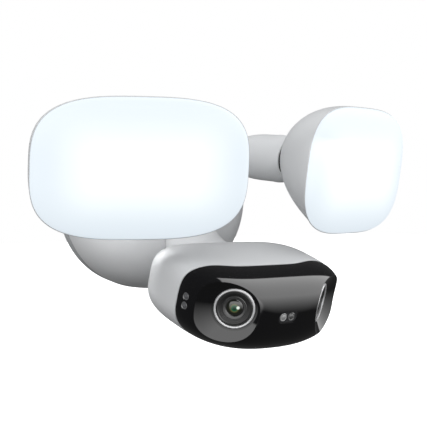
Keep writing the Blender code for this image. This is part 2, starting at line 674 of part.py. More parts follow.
def front_cover(look, tilt_axis, lens_axes):
    """Glossy black face with a shallow round dish and a bore at each lens."""
    edge = seam(0.2 * MM)
    outer = []
    for share in (0.3, 0.55, 0.74, 0.88, 0.96):
        outer.append([BODY_CENTRE + Vector((share * x, -body_depth(share * x, share * z), share * z))
                      for x, depth, z in edge])
    outer.append(seam_ring(0.2 * MM, -GAP))
    inner = [seam_ring(2.4 * MM, -GAP)]
    for share in (0.93, 0.8, 0.6, 0.4, 0.2):
        ring = []
        for x, depth, z in seam(2.4 * MM):
            y = -body_depth(share * x, share * z, 2.6 * MM, FACE_WALL)
            ring.append(BODY_CENTRE + Vector((share * x, y, share * z)))
        inner.append(ring)
    bm = bmesh.new()
    loft(bm, outer + inner)
    cover = finish(bm, "front_cover", look["gloss"], tilt_axis)
    for side, axis in lens_axes.items():
        profile = [(0, 0), (13.4 * MM, 0), (16 * MM, 1 * MM), (20 * MM, 2.9 * MM),
                   (25 * MM, 5.3 * MM), (32 * MM, 9.6 * MM), (32 * MM, 30 * MM), (0, 30 * MM)]
        dish = turned(f"dish_cut_{side}", profile, look["gloss"], axis, rotation=ALONG_Y, steps=28,
                      closed=False)
        cut(cover, dish)
        bore = disc(f"lens_bore_{side}", RING_OUTER + GAP, 60 * MM, look["gloss"], axis,
                    rotation=ALONG_Y, steps=24)
        cut(cover, bore)
    window = block("window_cut", (16 * MM, 40 * MM, 7.6 * MM), look["gloss"], tilt_axis,
                   location=BODY_CENTRE + Vector((0, -45 * MM, WINDOW_Z)))
    cut(cover, window)
    for name, centre, direction in spot_places():
        cut(cover, disc(f"{name}_hole", SPOT_RADIUS + GAP, 30 * MM, look["gloss"], tilt_axis,
                        location=centre, rotation=towards(direction), steps=12))
    return cover


def lens_pieces(look, side, axis):
    """One lens: silver ring, stepped barrel, front glass and the sensor board behind."""
    turned(f"lens_ring_{side}",
           [(RING_INNER, -3 * MM), (RING_OUTER, -3 * MM), (RING_OUTER, 0.4 * MM),
            (RING_OUTER - 0.5 * MM, 0.9 * MM), (RING_INNER, 0.9 * MM)],
           look["silver"], axis, rotation=ALONG_Y, steps=24)
    turned(f"lens_barrel_{side}",
           [(0, -BARREL_DEPTH), (BARREL_RADIUS - 1.5 * MM, -BARREL_DEPTH),
            (BARREL_RADIUS - 1.5 * MM, -4 * MM), (BARREL_RADIUS, -3.4 * MM), (BARREL_RADIUS, 0),
            (10.4 * MM, 0.2 * MM), (8 * MM, -2 * MM), (7.6 * MM, -1.4 * MM), (5.6 * MM, -2.6 * MM),
            (5.4 * MM, -5 * MM), (0, -5 * MM)],
           look["black"], axis, rotation=ALONG_Y, steps=24, closed=False)
    turned(f"lens_glass_{side}",
           [(0, -4.7 * MM), (5 * MM, -4.7 * MM), (5 * MM, -2.6 * MM), (4.2 * MM, -1.7 * MM),
            (2.4 * MM, -0.9 * MM), (0, -0.6 * MM)],
           look["glass"], axis, rotation=ALONG_Y, steps=24, closed=False)
    block(f"sensor_board_{side}", (19 * MM, 1.6 * MM, 19 * MM), look["board"], axis,
          location=(0, BARREL_DEPTH + 1.2 * MM, 0))


def camera_inner_pieces(look, tilt_axis):
    bm = bmesh.new()
    loft(bm, [[BODY_CENTRE + Vector((x, -42.2 * MM, z + WINDOW_Z))
               for x, z in outline(7.6 * MM, 3.4 * MM, 3.4, 24)],
              [BODY_CENTRE + Vector((x, -45.9 * MM, z + WINDOW_Z))
               for x, z in outline(7.6 * MM, 3.4 * MM, 3.4, 24)]])
    finish(bm, "sensor_window", look["black"], tilt_axis)
    block("main_board", (78 * MM, 1.6 * MM, 36 * MM), look["board"], tilt_axis,
          location=BODY_CENTRE + Vector((0, 5 * MM, 0)))
    turned("speaker", [(0, 0), (9.5 * MM, 0), (9.5 * MM, 4 * MM), (7 * MM, 6 * MM), (0, 6 * MM)],
           look["black"], tilt_axis, location=BODY_CENTRE + Vector((-30 * MM, 16.5 * MM, -18.5 * MM)),
           steps=20, closed=False)


def spot_places():
    """Name, centre and facing of the small lamps, one above the other."""
    for name, z in (("infrared_led", 8.4 * MM), ("light_sensor", 2.4 * MM)):
        centre = BODY_CENTRE + Vector((SPOT_X, -body_depth(SPOT_X, z), z))
        yield name, centre, Vector((-0.965, -0.263, 0)).normalized()


def spot_pieces(look, tilt_axis):
    for name, centre, direction in spot_places():
        turned(name, [(0, -5 * MM), (SPOT_RADIUS, -5 * MM), (SPOT_RADIUS, -1.2 * MM),
                      (SPOT_RADIUS * 0.6, -0.5 * MM), (0, -0.3 * MM)],
               look["glass"], tilt_axis, location=centre, rotation=towards(direction), steps=12,
               closed=False)


def card_pieces(look, tilt_axis, shell):
    """Hinged door under the camera head, with the memory-card socket and reset button behind."""
    bottom = BODY_CENTRE.z - BODY_HALF_HEIGHT
    door_y = BODY_CENTRE.y + 12 * MM
    length, width, thickness = DOOR_SIZE
    hole = block("card_hole", (length + 2 * GAP, width + 2 * GAP, 8 * MM), look["shell"], tilt_axis,
                 location=(0, door_y, bottom))
    cut(shell, hole)
    hinge = empty("card_door_hinge", (0, door_y + width / 2 - thickness / 2,
                                      bottom + 0.4 * MM + thickness / 2), parent=tilt_axis)
    door = block("card_door", (length, width - thickness / 2, thickness), look["shell"], hinge,
                 location=(0, -(width - thickness / 2) / 2, 0))
    barrel = disc("door_barrel", thickness / 2, length, look["shell"], hinge, rotation=ALONG_X,
                  steps=12)
    cut(door, barrel, "UNION")
    block("card_socket", (15 * MM, 14.5 * MM, 2.4 * MM), look["steel"], tilt_axis,
          location=(-3.5 * MM, door_y, bottom + 6.5 * MM))
    disc("reset_button", 1.6 * MM, 3.4 * MM, look["black"], tilt_axis,
         location=(8.5 * MM, door_y, bottom + 5 * MM), steps=12)


def camera_head(look):
    pan_axis = empty("camera_pan_axis", BALL_CENTRE)
    tilt_axis = empty("camera_tilt_axis", (0, 0, 0), (CAMERA_TILT, 0, 0), pan_axis)
    swivel_pieces(look, tilt_axis)
    shell = camera_rear_shell(look, tilt_axis)
    card_pieces(look, tilt_axis, shell)
    lens_axes = {side: lens_frame(side, sign, tilt_axis) for side, sign in SIDES.items()}
    front_cover(look, tilt_axis, lens_axes)
    for side, axis in lens_axes.items():
        lens_pieces(look, side, axis)
    spot_pieces(look, tilt_axis)
    camera_inner_pieces(look, tilt_axis)


def main():
    clear_scene()
    look = finishes()
    wall_pieces(look)
    rear_housing(look)
    front_dome(look)
    driver_pieces(look)
    for side, sign in SIDES.items():
        arm_pieces(look, side, sign)
        flood_head(look, side, sign)
    neck_pieces(look)
    camera_head(look)


main()
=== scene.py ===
import json
import math
import bmesh
import bpy
from mathutils import Euler, Matrix, Vector

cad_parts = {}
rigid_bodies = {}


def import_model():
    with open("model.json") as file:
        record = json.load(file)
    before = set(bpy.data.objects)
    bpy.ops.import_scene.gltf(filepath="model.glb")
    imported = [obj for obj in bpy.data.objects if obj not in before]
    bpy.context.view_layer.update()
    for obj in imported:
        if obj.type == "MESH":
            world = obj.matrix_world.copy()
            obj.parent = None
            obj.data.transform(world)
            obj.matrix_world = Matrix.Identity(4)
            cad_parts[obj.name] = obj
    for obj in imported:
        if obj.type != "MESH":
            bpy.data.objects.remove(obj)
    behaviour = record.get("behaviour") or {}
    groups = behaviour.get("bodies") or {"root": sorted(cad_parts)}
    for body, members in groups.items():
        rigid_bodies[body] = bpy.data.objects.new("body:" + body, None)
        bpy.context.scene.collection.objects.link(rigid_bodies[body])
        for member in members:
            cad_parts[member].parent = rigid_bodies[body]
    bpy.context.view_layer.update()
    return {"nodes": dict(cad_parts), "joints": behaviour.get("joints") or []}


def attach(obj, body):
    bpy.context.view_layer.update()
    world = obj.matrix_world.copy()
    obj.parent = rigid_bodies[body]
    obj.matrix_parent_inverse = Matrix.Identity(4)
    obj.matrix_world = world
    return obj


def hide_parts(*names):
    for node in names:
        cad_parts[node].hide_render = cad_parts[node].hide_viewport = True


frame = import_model()
mm = 0.001
sides = {"left": -1, "right": 1}
pinHole = 2.3 * mm                                   # radius of every cross pin's hole
joints = {joint["name"]: joint for joint in frame["joints"]}
print("frame loaded:", len(frame["nodes"]), "nodes")


# materials
def nodesOf(name):
    made = bpy.data.materials.new(name)
    made.use_nodes = True
    tree = made.node_tree
    return made, tree, tree.nodes["Principled BSDF"]


def addNode(tree, kind, **values):
    node = tree.nodes.new(kind)
    for key, value in values.items():
        if key in node.inputs:
            node.inputs[key].default_value = value
        else:
            setattr(node, key, value)
    return node


def noiseOn(tree, scale, detail=3.0, stretch=(1, 1, 1)):
    # noise read from the object's own coordinates, in metres
    coords = addNode(tree, "ShaderNodeTexCoord")
    mapping = addNode(tree, "ShaderNodeMapping")
    mapping.inputs["Scale"].default_value = stretch
    noise = addNode(tree, "ShaderNodeTexNoise", Scale=scale, Detail=detail)
    tree.links.new(coords.outputs["Object"], mapping.inputs["Vector"])
    tree.links.new(mapping.outputs["Vector"], noise.inputs["Vector"])
    return noise.outputs["Fac"]


def rangeOf(tree, value, low, high):
    node = addNode(tree, "ShaderNodeMapRange")
    node.inputs["To Min"].default_value = low
    node.inputs["To Max"].default_value = high
    tree.links.new(value, node.inputs["Value"])
    return node.outputs["Result"]


def mixOf(tree, factor, first, second, kind="MIX"):
    node = addNode(tree, "ShaderNodeMix", data_type="RGBA", blend_type=kind)
    for value, socket in ((factor, node.inputs[0]), (first, node.inputs[6]), (second, node.inputs[7])):
        if isinstance(value, bpy.types.NodeSocket):
            tree.links.new(value, socket)
        elif isinstance(value, (tuple, list)):
            socket.default_value = (*value, 1)[:4]
        else:
            socket.default_value = value
    return node.outputs[2]


def mathOf(tree, operation, first, second=None):
    node = addNode(tree, "ShaderNodeMath", operation=operation)
    for value, socket in zip((first, second), node.inputs):
        if isinstance(value, bpy.types.NodeSocket):
            tree.links.new(value, socket)
        elif value is not None:
            socket.default_value = value
    return node.outputs[0]


def fadeOf(tree, value, start, end, low=0.0, high=1.0, kind="SMOOTHSTEP"):
    node = addNode(tree, "ShaderNodeMapRange", interpolation_type=kind)
    for name, number in (("From Min", start), ("From Max", end), ("To Min", low), ("To Max", high)):
        node.inputs[name].default_value = number
    tree.links.new(value, node.inputs["Value"])
    return node.outputs["Result"]


def placeOn(tree, place):
    # the piece's own coordinates, in metres from its place and along its axes
    coords = addNode(tree, "ShaderNodeTexCoord")
    mapping = addNode(tree, "ShaderNodeMapping", vector_type="TEXTURE")
    mapping.inputs["Location"].default_value = place.translation
    mapping.inputs["Rotation"].default_value = place.to_euler()
    tree.links.new(coords.outputs["Object"], mapping.inputs["Vector"])
    return mapping.outputs["Vector"]


def finishOf(name, look):
    made, tree, shader = nodesOf(name)
    shader.inputs["Metallic"].default_value = look.get("metal", 0.0)
    shader.inputs["Coat Weight"].default_value = look.get("coat", 0.0)
    shader.inputs["Coat Roughness"].default_value = look.get("coatRoughness", 0.05)
    shader.inputs["Anisotropic"].default_value = look.get("brushed", 0.0)
    colour = look["colour"]
    drifted = [channel * look.get("drift", 0.96) for channel in colour]
    broad = noiseOn(tree, look.get("broadScale", 40), 2.0)
    tree.links.new(mixOf(tree, broad, colour, drifted), shader.inputs["Base Color"])
    fine = noiseOn(tree, look.get("grainScale", 1800), 4.0, look.get("stretch", (1, 1, 1)))
    low, high = look["roughness"]
    tree.links.new(rangeOf(tree, broad, low, high), shader.inputs["Roughness"])
    bump = addNode(tree, "ShaderNodeBump", Strength=look.get("grain", 0.1), Distance=0.0002)
    tree.links.new(fine, bump.inputs["Height"])
    tree.links.new(bump.outputs["Normal"], shader.inputs["Normal"])
    return made


looks = {
    "shellWhite": {"colour": (0.74, 0.75, 0.76), "roughness": (0.34, 0.44), "grain": 0.10,
                   "drift": 0.985},
    "housingGrey": {"colour": (0.45, 0.46, 0.47), "roughness": (0.45, 0.6), "grain": 0.2},
    "blackGloss": {"colour": (0.006, 0.006, 0.007), "roughness": (0.05, 0.075), "grain": 0.0,
                   "coat": 0.6},
    "blackPlastic": {"colour": (0.02, 0.02, 0.022), "roughness": (0.38, 0.5), "grain": 0.25},
    "zincSteel": {"colour": (0.60, 0.60, 0.61), "roughness": (0.28, 0.42), "metal": 1.0,
                  "stretch": (1, 1, 14), "grainScale": 700, "brushed": 0.4, "grain": 0.2},
    "aluminium": {"colour": (0.72, 0.72, 0.74), "roughness": (0.3, 0.42), "metal": 1.0,
                  "stretch": (1, 1, 9), "grainScale": 900, "grain": 0.15},
    "silverRing": {"colour": (0.88, 0.88, 0.89), "roughness": (0.25, 0.32), "metal": 0.3,
                   "grain": 0.05},
    "rubberBlack": {"colour": (0.03, 0.03, 0.031), "roughness": (0.75, 0.9), "grain": 0.5,
                    "grainScale": 1200},
    "ledBoardWhite": {"colour": (0.84, 0.84, 0.82), "roughness": (0.4, 0.5), "grain": 0.1},
    "reflectorWhite": {"colour": (0.88, 0.88, 0.88), "roughness": (0.22, 0.3), "grain": 0.05},
    "brass": {"colour": (0.72, 0.55, 0.25), "roughness": (0.25, 0.4), "metal": 1.0, "grain": 0.15},
}
finishes = {name: finishOf(name, look) for name, look in looks.items()}
print("materials made:", len(finishes))


# mesh helpers
def ringEdges(bm, ring):
    return [bm.edges.get(pair) or bm.edges.new(pair) for pair in zip(ring, ring[1:] + ring[:1])]


def loft(bm, rings, closed=False):
    # one circle, extruded from ring to ring and pulled to each ring's points
    start = bmesh.ops.create_circle(bm, segments=len(rings[0]), radius=1)["verts"]
    ring = list(start)
    for vert, point in zip(ring, rings[0]):
        vert.co = point
    firstEdges = ringEdges(bm, ring)
    for points in rings[1:] + (rings[:1] if closed else []):
        grown = bmesh.ops.extrude_edge_only(bm, edges=ringEdges(bm, ring))
        fresh = {tuple(v.co): v for v in grown["geom"] if isinstance(v, bmesh.types.BMVert)}
        ring = [fresh[tuple(v.co)] for v in ring]
        for vert, point in zip(ring, points):
            vert.co = point
    if not closed:
        bmesh.ops.contextual_create(bm, geom=firstEdges)
        bmesh.ops.contextual_create(bm, geom=ringEdges(bm, ring))


def spun(bm, profile, steps=96, closed=True):
    # profile of (radius, height) turned about Z
    verts = [bm.verts.new((radius, 0, height)) for radius, height in profile]
    edges = [bm.edges.new(pair) for pair in zip(verts, verts[1:])]
    if closed:
        edges.append(bm.edges.new((verts[-1], verts[0])))
    bmesh.ops.spin(bm, geom=verts + edges, cent=(0, 0, 0), axis=(0, 0, 1), angle=2 * math.pi,
                   steps=steps, use_merge=True)


def finishMesh(bm, name, sharpAngle=30):
    bmesh.ops.remove_doubles(bm, verts=bm.verts, dist=1e-6)
    bmesh.ops.recalc_face_normals(bm, faces=bm.faces)
    mesh = bpy.data.meshes.new(name)
    bm.to_mesh(mesh)
    bm.free()
    mesh.shade_smooth()
    mesh.set_sharp_from_angle(angle=math.radians(sharpAngle))
    made = bpy.data.objects.new(name, mesh)
    bpy.context.scene.collection.objects.link(made)
    return made


def placed(bm, place):
    bmesh.ops.transform(bm, matrix=place, verts=bm.verts)
    return bm


def piece(bm, name, material, body, nodes, sharpAngle=30, cutters=()):
    # a finished piece that rides on its body and stands for its node
    made = finishMesh(bm, name, sharpAngle)
    made.data.materials.append(material)
    for cutter, operation in cutters:
        carve(made, cutter, operation)
    if cutters:
        made.data.shade_smooth()
        made.data.set_sharp_from_angle(angle=math.radians(sharpAngle))
    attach(made, body)
    if nodes:
        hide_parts(*nodes)


def carve(target, cutterBm, operation):
    # Boolean applied at once, and its helper removed
    cutter = finishMesh(cutterBm, "cutter")
    boolean = target.modifiers.new("carve", "BOOLEAN")
    boolean.operation = operation
    boolean.object = cutter
    graph = bpy.context.evaluated_depsgraph_get()
    mesh = bpy.data.meshes.new_from_object(target.evaluated_get(graph))
    target.modifiers.clear()
    old = target.data
    mesh.name = old.name
    target.data = mesh
    bpy.data.meshes.remove(old)
    bpy.data.objects.remove(cutter, do_unlink=True)


def rod(radius, length, steps=64):
    bm = bmesh.new()
    bmesh.ops.create_cone(bm, cap_ends=True, segments=steps, radius1=radius, radius2=radius,
                          depth=length)
    return bm


def brick(size, bevel=0.0, segments=3):
    bm = bmesh.new()
    bmesh.ops.create_cube(bm, size=1, matrix=Matrix.Diagonal((*size, 1)))
    if bevel:
        bmesh.ops.bevel(bm, geom=bm.edges, offset=bevel, segments=segments, affect="EDGES",
                        profile=0.5, material=-1)
    return bm


def towards(direction):
    return Vector((0, 0, 1)).rotation_difference(Vector(direction)).to_matrix().to_4x4()


def bore(radius, start, way, first, last, steps=64):
    # a round cutter along a way, from first to last past its start
    middle = start + way * ((first + last) / 2)
    return placed(rod(radius, last - first, steps), Matrix.Translation(middle) @ towards(way))


alongY = Matrix.Rotation(math.pi / 2, 4, "X")       # +Z turned to -Y, out of the wall
alongX = Matrix.Rotation(math.pi / 2, 4, "Y")


def outline(halfWidth, halfHeight, power, count=128, lowerPower=None):
    # an oval at power 2, squarer as the power grows
    points = []
    for i in range(count):
        angle = 2 * math.pi * (i + 0.5) / count
        c = math.cos(angle)
        s = math.sin(angle)
        p = lowerPower if lowerPower and s < 0 else power
        points.append((halfWidth * math.copysign(abs(c) ** (2 / p), c),
                       halfHeight * math.copysign(abs(s) ** (2 / p), s)))
    return points


def flatRing(halfWidth, halfHeight, power, y, count=128, rise=0.0):
    return [Vector((x, y, z + rise)) for x, z in outline(halfWidth, halfHeight, power, count)]


def quarter(steps, first=2.0, last=90.0):
    # angles from the pole of a dome to its edge
    return [math.radians(first + (last - first) * i / steps) for i in range(steps + 1)]


# wall base
base = {"halfWidth": 70.8 * mm, "halfHeight": 65.7 * mm, "seamY": -9 * mm, "widestY": -11 * mm,
        "frontY": -64 * mm, "wall": 2.8 * mm, "roundness": 2.1, "domePower": 2.7,
        "armHole": 12.9 * mm, "neckHole": 19.5 * mm, "cableHole": 12 * mm, "cableZ": -24 * mm,
        "trayGap": 0.3 * mm, "ringPoints": 160}
arm = {"root": Vector((45.5 * mm, -34.5 * mm, 28.5 * mm)), "leave": Vector((0.8, -0.6, 0)),
       "rootRadius": 12.4 * mm, "endRadius": 16.6 * mm, "straight": 17.5 * mm, "bore": 4.5 * mm,
       "leaveReach": 8 * mm, "headReach": 20 * mm, "cup": 17 * mm, "cupOpening": 60,
       "ball": 12.7 * mm, "ballGap": 0.6 * mm,
       "forkSlot": (9 * mm, 24 * mm, 40 * mm), "forkSlotY": -4.4 * mm}
neck = {"root": Vector((0, -44 * mm, -17.5 * mm)), "radius": 19 * mm, "ball": 21 * mm,
        "clearance": 0.8 * mm, "bore": 4.5 * mm,
        "pans": [math.radians(angle) for angle in (-12, 0, 12)],
        "tilts": [math.radians(angle) for angle in (-8, 0, 6)]}
ballCentre = Vector(joints["camera_pan"]["pos_m"])
neckWay = (ballCentre - neck["root"]).normalized()


def baseRing(size, y, inset=0.0):
    return flatRing(base["halfWidth"] * size - inset, base["halfHeight"] * size - inset,
                    base["roundness"], y, base["ringPoints"])


def armRoot(sign):
    return Vector((sign * arm["root"].x, arm["root"].y, arm["root"].z))


def armLeave(sign):
    return Vector((sign * arm["leave"].x, arm["leave"].y, 0))


def buildDome():
    power = base["domePower"]
    depth = base["widestY"] - base["frontY"]
    outer = []
    inner = []
    for angle in quarter(36):
        share = math.cos(angle) ** (2 / power)
        size = math.sin(angle) ** (2 / power)
        outer.append(baseRing(size, base["widestY"] - share * depth))
        inner.append(baseRing(size, base["widestY"] - share * (depth - base["wall"]),
                              base["wall"] * min(1, size * 3)))
    lip = [baseRing(0.995, base["seamY"] - 0.8 * mm), baseRing(0.989, base["seamY"] - 0.25 * mm),
           baseRing(0.98, base["seamY"]), baseRing(0.98, base["seamY"], base["wall"] - 0.8 * mm)]
    bm = bmesh.new()
    loft(bm, outer + lip + inner[::-1][:-4])
    cutters = []
    for sign in sides.values():
        armHole = bore(base["armHole"], armRoot(sign), armLeave(sign), -2 * mm, 58 * mm, 96)
        cutters.append((armHole, "DIFFERENCE"))
    neckHole = bore(base["neckHole"], neck["root"], neckWay, -4 * mm, 40 * mm, 128)
    cutters.append((neckHole, "DIFFERENCE"))
    piece(bm, "domeShell", finishes["shellWhite"], "base", ["front_dome"], 28, cutters)


def buildTray():
    front = base["seamY"] + base["trayGap"]
    wall = base["wall"]
    bm = bmesh.new()
    loft(bm, [baseRing(0.5, front), baseRing(0.972, front), baseRing(0.98, front + 0.3 * mm),
              baseRing(0.984, front + 1 * mm), baseRing(0.984, -4 * mm), baseRing(0.978, -1.6 * mm),
              baseRing(0.968, -0.5 * mm), baseRing(0.96, -0.2 * mm), baseRing(0.96, -0.2 * mm, wall),
              baseRing(0.98, -4 * mm, wall), baseRing(0.98, front + 2 * mm, wall),
              baseRing(0.5, front + 2 * mm)])
    hole = placed(rod(base["cableHole"], 30 * mm),
                  Matrix.Translation((0, base["seamY"], base["cableZ"])) @ alongY)
    piece(bm, "backTray", finishes["housingGrey"], "base", ["rear_housing"], 28,
          [(hole, "DIFFERENCE")])


buildDome()
buildTray()
print("base made")

# flood heads
head = {"halfWidth": 69 * mm, "halfHeight": 43.75 * mm, "depth": 46 * mm, "toPole": 14.5 * mm,
        "wall": 2.4 * mm, "rise": 9 * mm, "power": 3.2, "tilt": math.radians(8.5),
        "eyeRadius": 6.5 * mm, "tongue": (8.4 * mm, 17 * mm, 13 * mm), "tongueY": -9.5 * mm,
        "bulge": 7 * mm, "bulgeWidth": 38 * mm, "coverWall": 2 * mm, "coverGap": 0.3 * mm,
        "ringPoints": 144}
rimY = -(head["toPole"] + head["depth"])


def headPlace(side):
    pan = joints[side + "_pan"]
    tiltAxis = Vector(joints[side + "_tilt"]["axis"]) * -1
    yaw = math.atan2(tiltAxis.y, tiltAxis.x)
    return Matrix.Translation(Vector(pan["pos_m"])) @ Euler((head["tilt"], 0, yaw)).to_matrix().to_4x4()


def bowlRing(share, inset=0.0, push=0.0):
    size = math.sqrt(max(1 - share ** 2, 0))
    power = 2 + (head["power"] - 2) * (1 - share)
    rise = head["rise"] * share ** 0.7 * size ** 0.5
    return flatRing(head["halfWidth"] * size - inset, head["halfHeight"] * size - inset - rise, power,
                    rimY + share * head["depth"] - push, head["ringPoints"], rise)


def coverRing(inset, y):
    power = head["power"] - 0.8 * (inset / head["bulgeWidth"]) ** 2
    return flatRing(head["halfWidth"] - inset, head["halfHeight"] - inset, power, y,
                    head["ringPoints"])


def coverDepth(inset):
    share = min(inset / head["bulgeWidth"], 1)
    return head["bulge"] * math.sqrt(1 - (1 - share) ** 2.6)


def buildBowl(side):
    place = headPlace(side)
    outer = [bowlRing(math.cos(angle)) for angle in quarter(40, 6)]
    rim = [bowlRing(0, 0.15 * mm, 0.25 * mm), bowlRing(0, 0.5 * mm, 0.3 * mm),
           bowlRing(0, 2.0 * mm, 0.0)]
    inner = []
    for angle in quarter(16, 30)[::-1]:
        share = math.cos(angle)
        inner.append(bowlRing(share, head["wall"], head["wall"] * share))
    bm = bmesh.new()
    loft(bm, outer + rim + inner[1:])
    eye = placed(rod(head["eyeRadius"], head["tongue"][0], 48), place @ alongX)
    pin = placed(rod(pinHole, 20 * mm, 32), place @ alongX)
    tongue = placed(brick(head["tongue"], 0.5 * mm),
                    place @ Matrix.Translation((0, head["tongueY"], 0)))
    piece(placed(bm, place), f"headBowl_{side}", finishes["shellWhite"], side + "_head",
          [f"head_rear_shell_{side}"], 30,
          [(tongue, "UNION"), (eye, "UNION"), (pin, "DIFFERENCE")])


lit = {"middle": (0.86, 0.92, 0.94), "edge": (0.67, 0.74, 0.80), "unlit": (0.26, 0.27, 0.27, 1),
       "halfWidth": 46 * mm, "softX": 17 * mm, "halfHeight": 22 * mm, "softZ": 15 * mm,
       "strength": 1.0, "roughness": (0.4, 0.5)}


def litMaterial(side):
    # milky cover lit from behind: white in the middle, cool towards the edge
    made, tree, shader = nodesOf(f"litCover_{side}")
    split = addNode(tree, "ShaderNodeSeparateXYZ")
    tree.links.new(placeOn(tree, headPlace(side)), split.inputs["Vector"])

    def middle(output, half, soft):
        away = mathOf(tree, "ABSOLUTE", split.outputs[output])
        return fadeOf(tree, away, half - soft, half + soft, 1, 0)

    both = mathOf(tree, "MULTIPLY", middle("X", lit["halfWidth"], lit["softX"]),
                  middle("Z", lit["halfHeight"], lit["softZ"]))
    tree.links.new(mixOf(tree, both, lit["edge"], lit["middle"]), shader.inputs["Emission Color"])
    tree.links.new(rangeOf(tree, noiseOn(tree, 500), *lit["roughness"]), shader.inputs["Roughness"])
    shader.inputs["Base Color"].default_value = lit["unlit"]
    shader.inputs["Emission Strength"].default_value = lit["strength"]
    return made


def buildCover(side):
    back = rimY - head["coverGap"]
    edge = 0.5 * mm
    insets = [head["bulgeWidth"] * (1 - math.sin(angle)) + edge for angle in quarter(30, 0)]
    outer = [coverRing(inset, back - coverDepth(inset - edge)) for inset in insets]
    inner = [coverRing(inset, back + 0.05 * mm - max(coverDepth(inset) - head["coverWall"], 0))
             for inset in (2.6 * mm, 4 * mm, 7 * mm, 12 * mm, 20 * mm, 30 * mm, head["bulgeWidth"])]
    bm = bmesh.new()
    loft(bm, outer + inner)
    piece(placed(bm, headPlace(side)), f"litCover_{side}", litMaterial(side), side + "_head",
          [f"diffuser_{side}"], 40)


for side in sides:
    buildBowl(side)
    buildCover(side)
print("flood heads made")


# arms and knuckles
def sweptRings(stations, count=72):
    rings = []
    for centre, direction, radius in stations:
        across = direction.cross(Vector((0, 0, 1))).normalized()
        up = across.cross(direction).normalized()
        ring = []
        for i in range(count):
            angle = 2 * math.pi * (i + 0.5) / count
            ring.append(centre + radius * (math.cos(angle) * across + math.sin(angle) * up))
        rings.append(ring)
    return rings


def armPath(side, sign):
    leave = armLeave(sign)
    start = armRoot(sign) + leave * arm["straight"]
    end = Vector(joints[side + "_pan"]["pos_m"])
    facing = headPlace(side).to_3x3() @ Vector((0, -1, 0))
    middle = (start + leave * arm["leaveReach"] + end - facing * arm["headReach"]) / 2

    def at(share):
        point = (1 - share) ** 2 * start + 2 * share * (1 - share) * middle + share ** 2 * end
        way = 2 * (1 - share) * (middle - start) + 2 * share * (end - middle)
        return point, way.normalized()
    return at


def armRadius(share):
    # swells from the root to the cup
    swell = 1 - (1 - min(share / 0.75, 1)) ** 2
    return arm["rootRadius"] + (arm["endRadius"] - arm["rootRadius"]) * swell


def buildArm(side, sign):
    at = armPath(side, sign)
    root = armRoot(sign)
    leave = armLeave(sign)
    pivot = Vector(joints[side + "_pan"]["pos_m"])
    forward = at(1.0)[1]
    stations = [(root, leave, arm["rootRadius"]),
                (root + leave * arm["straight"] * 0.5, leave, arm["rootRadius"])]
    for i in range(25):
        share = 0.72 * i / 24
        stations.append((*at(share), armRadius(share)))
    for angle in range(100, arm["cupOpening"] - 1, -4):
        a = math.radians(angle)
        stations.append((pivot + forward * arm["cup"] * math.cos(a), forward, arm["cup"] * math.sin(a)))
    cavity = arm["ball"] + arm["ballGap"]
    lipAngle = math.radians(arm["cupOpening"] - 1.5)
    lip = (arm["cup"] + cavity) / 2
    stations.append((pivot + forward * lip * math.cos(lipAngle), forward, lip * math.sin(lipAngle)))
    for angle in range(arm["cupOpening"], 151, 6):
        a = math.radians(angle)
        stations.append((pivot + forward * cavity * math.cos(a), forward, cavity * math.sin(a)))
    for share in (0.5, 0.25, 0.0):
        stations.append((*at(share), arm["bore"]))
    stations.append((root, leave, arm["bore"]))
    bm = bmesh.new()
    loft(bm, sweptRings(stations), closed=True)
    piece(bm, f"armTube_{side}", finishes["shellWhite"], "base", [f"arm_{side}"], 35)


def buildKnuckle(side):
    place = headPlace(side)
    yaw = Euler((0, 0, place.to_euler().z)).to_matrix().to_4x4()
    place = Matrix.Translation(place.translation) @ yaw
    bm = bmesh.new()
    bmesh.ops.create_uvsphere(bm, u_segments=72, v_segments=40, radius=arm["ball"])
    forkSlot = placed(brick(arm["forkSlot"]), place @ Matrix.Translation((0, arm["forkSlotY"], 0)))
    pin = placed(rod(pinHole, 40 * mm, 32), place @ alongX)
    piece(placed(bm, place), f"knuckleBall_{side}", finishes["blackPlastic"], side + "_knuckle",
          [f"knuckle_{side}"], 30,
          [(forkSlot, "DIFFERENCE"), (pin, "DIFFERENCE")])


for side, sign in sides.items():
    buildArm(side, sign)
    buildKnuckle(side)
print("arms made")


# neck with its ball
def buildNeck():
    length = (ballCentre - neck["root"]).length
    stations = []
    for along in (0, 10 * mm, 20 * mm, 30 * mm, 36 * mm):
        stations.append((neck["root"] + neckWay * along, neckWay, neck["radius"]))
    for angle in range(112, 15, -4):
        a = math.radians(angle)
        stations.append((ballCentre + neckWay * neck["ball"] * math.cos(a), neckWay,
                         neck["ball"] * math.sin(a)))
    for along in (length + 15 * mm, length, length / 2, 0):
        stations.append((neck["root"] + neckWay * along, neckWay, neck["bore"]))
    bm = bmesh.new()
    loft(bm, sweptRings(stations, 96), closed=True)
    piece(bm, "neckAndBall", finishes["shellWhite"], "base", ["camera_neck"], 25)


buildNeck()
print("neck made")

